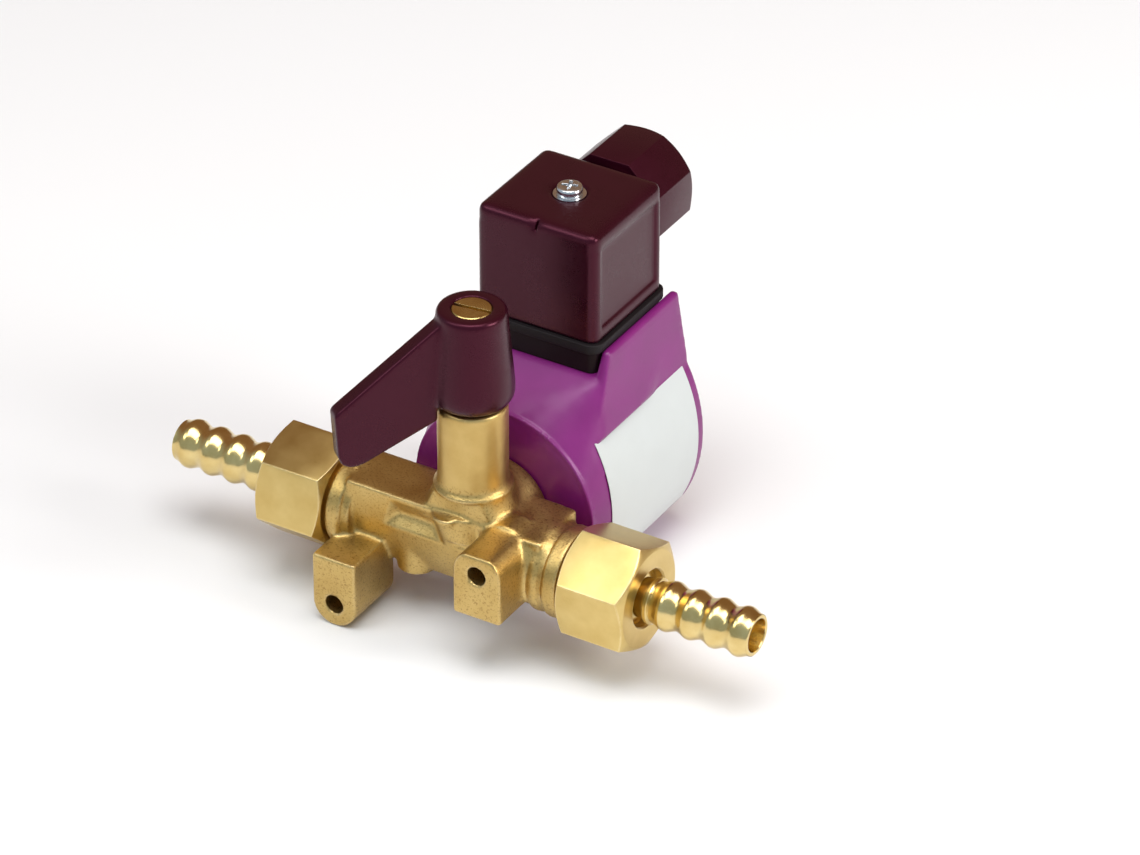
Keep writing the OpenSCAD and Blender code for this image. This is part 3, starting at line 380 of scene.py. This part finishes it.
def cast_brass():
    """Blasted casting with a fine grain and a soft tarnish, and a smoother turned turret above it."""
    s = Shade("cast_brass", Metallic=1.0)
    turned_from = flow_z + 16
    up = s.node("ShaderNodeSeparateXYZ", {0: s.place}).outputs[Z]
    turned = s.range(up, turned_from * MM, (turned_from + 1) * MM)
    cloud = s.noise(7.0, detail=4.0)
    grain = s.noise(0.45, rough=0.6)
    edge = s.wear_and_highlight_edges(0.8, patch=1.5, patch_span=(0.25, 0.55), edge_span=(0.985, 0.90))
    metal = s.mix(s.spread(cloud), rgb(0.52, 0.35, 0.115), rgb(0.63, 0.45, 0.17))
    pits = s.times(s.range(grain, 0.48, 0.30), s.math("SUBTRACT", 1.0, turned), clamp=True)
    pitted = s.mix(pits, metal, rgb(0.36, 0.22, 0.07))
    # edges lightened: partly rubbed wear, partly a painted highlight
    colour = s.mix(s.times(edge, 0.75), pitted, wear_and_highlight_brass)
    rough = s.math("SUBTRACT", s.spread(s.average(cloud, grain), 0.33, 0.46), s.times(edge, 0.08))
    s.bump(grain, 0.12, s.range(turned, 0.0, 1.0, 0.6, 0.05))
    s.bump(s.noise(1.2, detail=2.0), 0.09, s.range(turned, 0.0, 1.0, 0.35, 0.05))
    tool_marks = s.noise(0.1, detail=1.0, place=s.round_axis(Z, turret))
    s.bump(tool_marks, 0.01, s.times(turned, 0.5))
    return s.finish(colour, rough)


def turned_metal(name, axis, centre, base, light, rough, line=0.09):
    """Machined brass or copper with tool marks round an axis."""
    s = Shade(name, Metallic=1.0)
    tool_marks = s.noise(line, detail=2.0, place=s.round_axis(axis, centre))
    cloud = s.noise(4.0)
    edge = s.wear_and_highlight_edges(0.25, patch=1.2)
    # edges lightened: partly rubbed wear, partly a painted highlight
    colour = s.mix(edge, s.mix(s.spread(cloud), base, light), wear_and_highlight_brass)
    s.bump(tool_marks, 0.012, 0.5)
    return s.finish(colour, s.spread(s.average(cloud, tool_marks), *rough))


def drawn_brass(name, base, light, rough):
    """Satin hexagon bar with faint marks along X."""
    s = Shade(name, Metallic=1.0)
    marks = s.noise(0.16, detail=2.0, stretch=(20, 1, 1))
    grain = s.noise(0.2, detail=2.0)
    cloud = s.noise(6.0)
    edge = s.wear_and_highlight_edges(0.6, patch=1.4, patch_span=(0.25, 0.55), edge_span=(0.985, 0.90))
    # edges lightened: partly rubbed wear, partly a painted highlight
    colour = s.mix(edge, s.mix(s.spread(cloud), base, light), wear_and_highlight_brass)
    s.bump(marks, 0.004, 0.3)
    s.bump(grain, 0.006, 0.4)
    return s.finish(colour, s.spread(s.average(cloud, grain, 0.6), *rough))


def moulded(name, base, wear_and_highlight_colour, rough, grain_size=0.18, grain_depth=0.02, specular=0.5, sheen=(1, 1, 1),
            cloudy=0.15):
    """Moulded plastic or rubber with a fine grain, a slow change of shade, and edges painted lighter, partly as
    rubbed wear and partly as a painted highlight.
    """
    s = Shade(name, Specular_IOR_Level=specular, Specular_Tint=rgb(*sheen))
    grain = s.noise(grain_size, detail=2.0)
    cloud = s.noise(9.0)
    edge = s.wear_and_highlight_edges(0.35, patch=1.0, patch_span=(0.35, 0.65))
    deeper = rgb(*[(1 - cloudy) * c for c in base[:3]])
    # edges lightened: partly rubbed wear, partly a painted highlight
    colour = s.mix(edge, s.mix(s.spread(cloud), deeper, base), wear_and_highlight_colour)
    s.bump(grain, grain_depth, 0.5)
    s.bump(s.noise(3.0), 0.05, 0.1)
    return s.finish(colour, s.spread(s.average(cloud, grain, 0.6), *rough))


def steel(name, base, rough, axis, centre):
    """Plated or stainless steel with faint tool marks round an axis."""
    s = Shade(name, Metallic=1.0)
    tool_marks = s.noise(0.1, detail=2.0, place=s.round_axis(axis, centre))
    cloud = s.noise(2.0)
    edge = s.wear_and_highlight_edges(0.15, patch=0.8)
    lighter = rgb(*[min(1.0, 1.2 * c) for c in base[:3]])
    # edges lightened towards near white: partly rubbed wear, partly a painted highlight
    colour = s.mix(edge, s.mix(s.spread(cloud), base, lighter), rgb(0.9, 0.9, 0.9))
    s.bump(tool_marks, 0.01, 0.4)
    return s.finish(colour, s.spread(s.average(cloud, tool_marks), *rough))


materials = {
    "cast_brass": cast_brass(),
    "nut_brass": drawn_brass("nut_brass", deep_brass, pale_brass, rough=(0.27, 0.36)),
    "tail_brass": turned_metal("tail_brass", X, turret, rgb(0.66, 0.48, 0.18), rgb(0.77, 0.61, 0.28),
                               rough=(0.15, 0.25)),
    "spindle_brass": turned_metal("spindle_brass", Z, turret, deep_brass, pale_brass, rough=(0.2, 0.34)),
    "copper_wire": turned_metal("copper_wire", Y, coil_axis, rgb(0.60, 0.22, 0.09), rgb(0.72, 0.30, 0.13),
                                rough=(0.25, 0.4), line=0.3),
    # the second colour of each moulded material is its lighter edge colour: partly rubbed wear, partly a painted
    # highlight
    "dark_plastic": moulded("dark_plastic", rgb(0.022, 0.0016, 0.006), rgb(0.07, 0.012, 0.022),
                            rough=(0.24, 0.34), sheen=(1.0, 0.30, 0.45)),
    "base_plastic": moulded("base_plastic", rgb(0.010, 0.003, 0.005), rgb(0.03, 0.01, 0.013),
                            rough=(0.4, 0.55), specular=0.15),
    "inner_plastic": moulded("inner_plastic", rgb(0.05, 0.05, 0.052), rgb(0.09, 0.09, 0.09),
                             rough=(0.45, 0.6)),
    "purple_plastic": moulded("purple_plastic", rgb(0.215, 0.011, 0.165), rgb(0.46, 0.09, 0.36),
                              rough=(0.30, 0.42), grain_size=0.3, specular=0.6, sheen=(1.0, 0.85, 1.0)),
    "white_plastic": moulded("white_plastic", rgb(0.80, 0.80, 0.78), rgb(0.85, 0.85, 0.84),
                             rough=(0.4, 0.55)),
    "white_label": moulded("white_label", rgb(0.60, 0.635, 0.625), rgb(0.68, 0.71, 0.70),
                           rough=(0.34, 0.42), grain_size=0.5, grain_depth=0.006, cloudy=0.03),
    "black_rubber": moulded("black_rubber", rgb(0.008, 0.005, 0.006), rgb(0.02, 0.015, 0.015),
                            rough=(0.5, 0.66), grain_size=0.25, specular=0.25),
    "plated_steel": steel("plated_steel", rgb(0.62, 0.64, 0.66), (0.16, 0.30), Z,
                          centre_of("connector_screw")),
    "coil_steel": steel("coil_steel", rgb(0.60, 0.61, 0.62), (0.22, 0.36), Y, coil_axis),
    "stainless_steel": steel("stainless_steel", rgb(0.55, 0.55, 0.56), (0.18, 0.30), Y, coil_axis),
}
# a slot or a node that isn't named here takes the material of its slot's own name
material_of_slot = {"turned_brass": "spindle_brass", "bright_brass": "tail_brass"}
material_of_node = {
    "left_union_nut": "nut_brass", "right_union_nut": "nut_brass", "seat_insert": "tail_brass",
    "coil_washer": "coil_steel", "coil_nut": "coil_steel", "gland_washer": "coil_steel",
    "terminal_base": "base_plastic",
}


def paint(obj, key):
    obj.data.materials.clear()
    obj.data.materials.append(materials[key])


def paint_as(obj, node):
    """Gives the piece or CAD object the material of a CAD node."""
    slot = slot_of[node]
    paint(obj, material_of_node.get(node, material_of_slot.get(slot, slot)))


for node, obj in frame["nodes"].items():
    paint_as(obj, node)


# ---------------------------------------------------------------- sculpted pieces

def make_body():
    """The casting, with its bores for the spindle, the guide tube and the lugs' threads left true."""
    field = Field("valve_body", voxel=0.26)
    spindle_bore = (1 - field.away(Z, turret, 5.3, 5.9)) * ramp(field.z, flow_z + 9, flow_z + 10)
    guide_recess = (1 - field.away(Y, coil_axis, 8.2, 8.8)) * ramp(field.y, flow_y + 3, flow_y + 4)
    where = (1 - spindle_bore) * (1 - guide_recess)
    for name in ("inlet_lug_thread", "outlet_lug_thread"):
        where = where * field.away(Y, in_mm(mounts[name]["pos_m"]), 2.2, 2.6)

    # the flare under the turret's ring, a cone that stops this far in front of the turret's axis
    front = 6.0
    flare_low, flare_top = 6.0, 13.6
    base_radius, base_height, slope, cosine = 9.6, 9.0, 0.36, 0.94
    radius = np.sqrt((field.x - turret[X]) ** 2 + (field.y - flow_y) ** 2)
    up = field.z - flow_z
    cone = (radius - base_radius + slope * (up - base_height)) * cosine
    flare = np.maximum(cone, np.maximum(up - flare_top, flare_low - up))
    field.add(np.maximum(flare, flow_y - front - field.y), fillet=0.5)

    # in front of the flare, the space between the bar's top and the ring is open
    bar_top, ring_low = 9.1, 13.2
    gap = np.maximum(field.y - flow_y + front, np.maximum(bar_top - up, up - ring_low))
    field.cut(gap, fillet=0.5)

    field.rounded(edge=0.26, fillet=0.7, where=where)
    outlet_joint = ramp(field.x, 18.2, 19.4) * (1 - ramp(field.x, 23.0, 24.0))
    field.rounded(edge=0.3, fillet=1.2, where=where * outlet_joint)
    return field.piece("cast_body")


def make_lever():
    """The lever, with its bore and the seat of its screw left true."""
    field = Field("lever", voxel=0.22)
    top = box_mm("lever")[1][Z]
    screw_seat = (1 - field.away(Z, turret, 4.3, 4.6)) * ramp(field.z, top - 6, top - 5)
    field.rounded(edge=0.3, fillet=1.0, where=field.away(Z, turret, 3.4, 3.7) * (1 - screw_seat))
    return field.piece("bypass_lever_arm")


def make_plug():
    """The plug's housing, softer round its top, with a moulding slit in its front top edge."""
    field = Field("connector_housing", voxel=0.24)
    low, high = box_mm("connector_housing")
    screw = centre_of("connector_screw")
    near_top = ramp(field.z, high[Z] - 4.5, high[Z] - 3.5)
    field.rounded(edge=0.26, fillet=0.4, where=field.away(Z, screw, 2.0, 2.3))
    field.rounded(edge=0.62, fillet=0.62, where=field.away(Z, screw, 4.4, 5.2) * near_top)
    slit_w, slit_d, slit_h = 0.4, 1.5, 2.2
    across = np.abs(field.x - screw[X]) - slit_w / 2
    slit = np.maximum(across, np.maximum(field.y - low[Y] - slit_d, high[Z] - slit_h - field.z))
    field.cut(slit, fillet=0.12)
    return field.piece("plug_shell")


def make_coil():
    """The coil's moulding, with a thin rim round its front disc."""
    field = Field("coil_housing", voxel=0.34)
    front = box_mm("coil_housing")[0][Y]
    field.rounded(edge=0.24, fillet=0.3, where=field.away(Y, coil_axis, 5.4, 6.0))
    rim_radius, rim_depth, bead_radius = 20.7, 0.45, 0.42
    radius = np.sqrt((field.x - coil_axis[X]) ** 2 + (field.z - coil_axis[Z]) ** 2)
    rim = np.sqrt((radius - rim_radius) ** 2 + (field.y - front - rim_depth) ** 2) - bead_radius
    field.add(rim, fillet=0.25)
    return field.piece("coil_moulding")


def tail_outline(node, bore, side):
    """Ringed outside, rounded tip and bored inside, as [x, radius] with x counted outwards."""
    low, high = box_mm(node)
    tip, start = (high[X], low[X]) if side > 0 else (-low[X], -high[X])
    shank = (high[Y] - low[Y]) / 2
    nut_low, nut_high = box_mm(node.replace("hose_tail", "union_nut"))
    nut_end = nut_high[X] if side > 0 else -nut_low[X]
    crest, root = 5.25, 4.4
    rings, pitch = 4, 5.5
    first_ring = nut_end + 5.2
    neck = root - 0.2
    bead, bead_start, bead_end, bead_edge = root + 0.5, nut_end + 1.0, nut_end + 2.0, 0.15
    lip = 0.45
    # the bore's inner edge, the shank inside the nut, the neck, and the bead where the nut ends
    outline = [(start + 0.2, bore), (start, bore + 0.2), (start, shank - 0.5), (start + 0.5, shank),
               (nut_end - 2.0, shank), (nut_end - 1.4, neck), (bead_start - 0.1, neck),
               (bead_start, bead - bead_edge), (bead_start + bead_edge, bead),
               (bead_end - bead_edge, bead), (bead_end, bead - bead_edge), (bead_end + bead_edge, root)]
    # the rings are waves with a short flat crest
    steps = 20
    for step in range(-steps, 2 * steps * rings - steps + 1):
        off = abs((step + steps) % (2 * steps) - steps) / steps
        rise = 0.5 + 0.5 * math.cos(math.pi * max(0.0, off - 0.08) ** 0.8)
        outline.append((first_ring + step / steps * pitch / 2, root + (crest - root) * rise))
    lip_steps = 6
    for k in range(lip_steps + 1):
        turn = math.pi / 2 * k / lip_steps
        outline.append((tip - lip + lip * math.sin(turn), root - lip + lip * math.cos(turn)))
    outline += [(tip, bore + 0.25), (tip - 0.08, bore + 0.08), (tip - 0.3, bore)]
    return [(x * side, r) for x, r in outline]


def make_tail(node, bore_mount, side):
    outline = tail_outline(node, mounts[bore_mount]["dims"]["r_mm"], side)
    return turned_on_flow_axis(node.replace("hose_tail", "ringed_tail"), outline)


def make_spring():
    """A copy of the spring between the plunger and the fixed core, on a mesh of its own."""
    spring = frame["nodes"]["plunger_spring"].copy()
    spring.data = spring.data.copy()
    spring.name = "return_spring"
    bpy.context.scene.collection.objects.link(spring)
    stands_for(spring, "plunger_spring")
    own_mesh(spring)
    return spring


sculpted_pieces = {
    "valve_body": make_body(),
    "lever": make_lever(),
    "connector_housing": make_plug(),
    "coil_housing": make_coil(),
    "left_hose_tail": make_tail("left_hose_tail", "inlet_bore", side=-1),
    "right_hose_tail": make_tail("right_hose_tail", "outlet_bore", side=1),
}
for node, piece in sculpted_pieces.items():
    paint_as(stands_for(piece, node), node)
paint_as(make_spring(), "plunger_spring")

# CAD node, piece, and width of the rounding on its edges
bevels = (
    ("left_union_nut", "left_hexagon_nut", 0.22),
    ("right_union_nut", "right_hexagon_nut", 0.22),
    ("gland_nut", "gland_cap", 0.35),
    ("connector_gasket", "profile_gasket", 0.3),
    ("connector_screw", "plug_screw", 0.12),
    ("lever_screw", "slotted_lever_screw", 0.1),
    ("coil_nut", "hexagon_coil_nut", 0.15),
)
for node, name, width in bevels:
    paint_as(bevelled(node, name, width), node)


# ---------------------------------------------------------------- camera, lights and floor

middle = (cad_low + cad_high) / 2
aim = middle + Vector((12.75, -2.24, -3.5)) * MM


def from_angles(azimuth, elevation, distance, target):
    a, e = math.radians(azimuth), math.radians(elevation)
    back = Vector((math.sin(a) * math.cos(e), -math.cos(a) * math.cos(e), math.sin(e)))
    return Vector(target) + back * distance


def look(obj, target):
    obj.rotation_mode = "QUATERNION"
    obj.rotation_quaternion = (Vector(target) - obj.location).to_track_quat("-Z", "Y")


def make_camera(azimuth, elevation, distance, lens):
    camera = new_object("camera", bpy.data.cameras.new("camera"))
    camera.location = from_angles(azimuth, elevation, distance, aim)
    look(camera, aim)
    camera.data.lens = lens
    camera.data.clip_start = 0.01
    bpy.context.scene.camera = camera


def softbox(name, azimuth, elevation, width, height, power, distance=0.9):
    lamp = bpy.data.lights.new(name, "AREA")
    lamp.shape = "RECTANGLE"
    lamp.size, lamp.size_y = width, height
    lamp.energy = power
    obj = new_object(name, lamp)
    obj.location = from_angles(azimuth, elevation, distance, middle)
    look(obj, middle)


def make_studio(front, back, start, end, strength):
    """Surroundings that change from one colour to the other between two values of Y, from -1 to 1."""
    world = bpy.data.worlds.new("studio")
    world.use_nodes = True
    nodes, links = world.node_tree.nodes, world.node_tree.links
    split = nodes.new("ShaderNodeSeparateXYZ")
    depth = nodes.new("ShaderNodeMapRange")
    depth.inputs[1].default_value = start
    depth.inputs[2].default_value = end
    colour = nodes.new("ShaderNodeMix")
    colour.data_type = "RGBA"
    colour.inputs[6].default_value = front
    colour.inputs[7].default_value = back
    links.new(nodes.new("ShaderNodeTexCoord").outputs["Generated"], split.inputs[0])
    links.new(split.outputs[Y], depth.inputs[0])
    links.new(depth.outputs[0], colour.inputs[0])
    links.new(colour.outputs[2], nodes["Background"].inputs["Color"])
    nodes["Background"].inputs["Strength"].default_value = strength
    bpy.context.scene.world = world


def make_floor(half):
    mesh = bpy.data.meshes.new("floor")
    corners = [(-half, -half, 0), (half, -half, 0), (half, half, 0), (-half, half, 0)]
    mesh.from_pydata(corners, [], [(0, 1, 2, 3)])
    paper = Shade("floor_paper", Specular_IOR_Level=0.2)
    mesh.materials.append(paper.finish(rgb(0.9, 0.9, 0.9), 0.9))
    new_object("floor", mesh)


make_camera(azimuth=31.1, elevation=33.14, distance=1.228, lens=192.6)
softbox("top_light", 30, 78, width=0.7, height=0.6, power=6.0)
softbox("left_light", -40, 46, width=0.34, height=0.34, power=1.3)
softbox("right_light", 100, 28, width=0.30, height=0.45, power=4.4)
make_studio(front=rgb(0.50, 0.60, 0.68), back=rgb(0.34, 0.20, 0.12), start=-0.35, end=0.25, strength=0.8)
make_floor(half=6)
bpy.context.scene.view_settings.view_transform = "Standard"
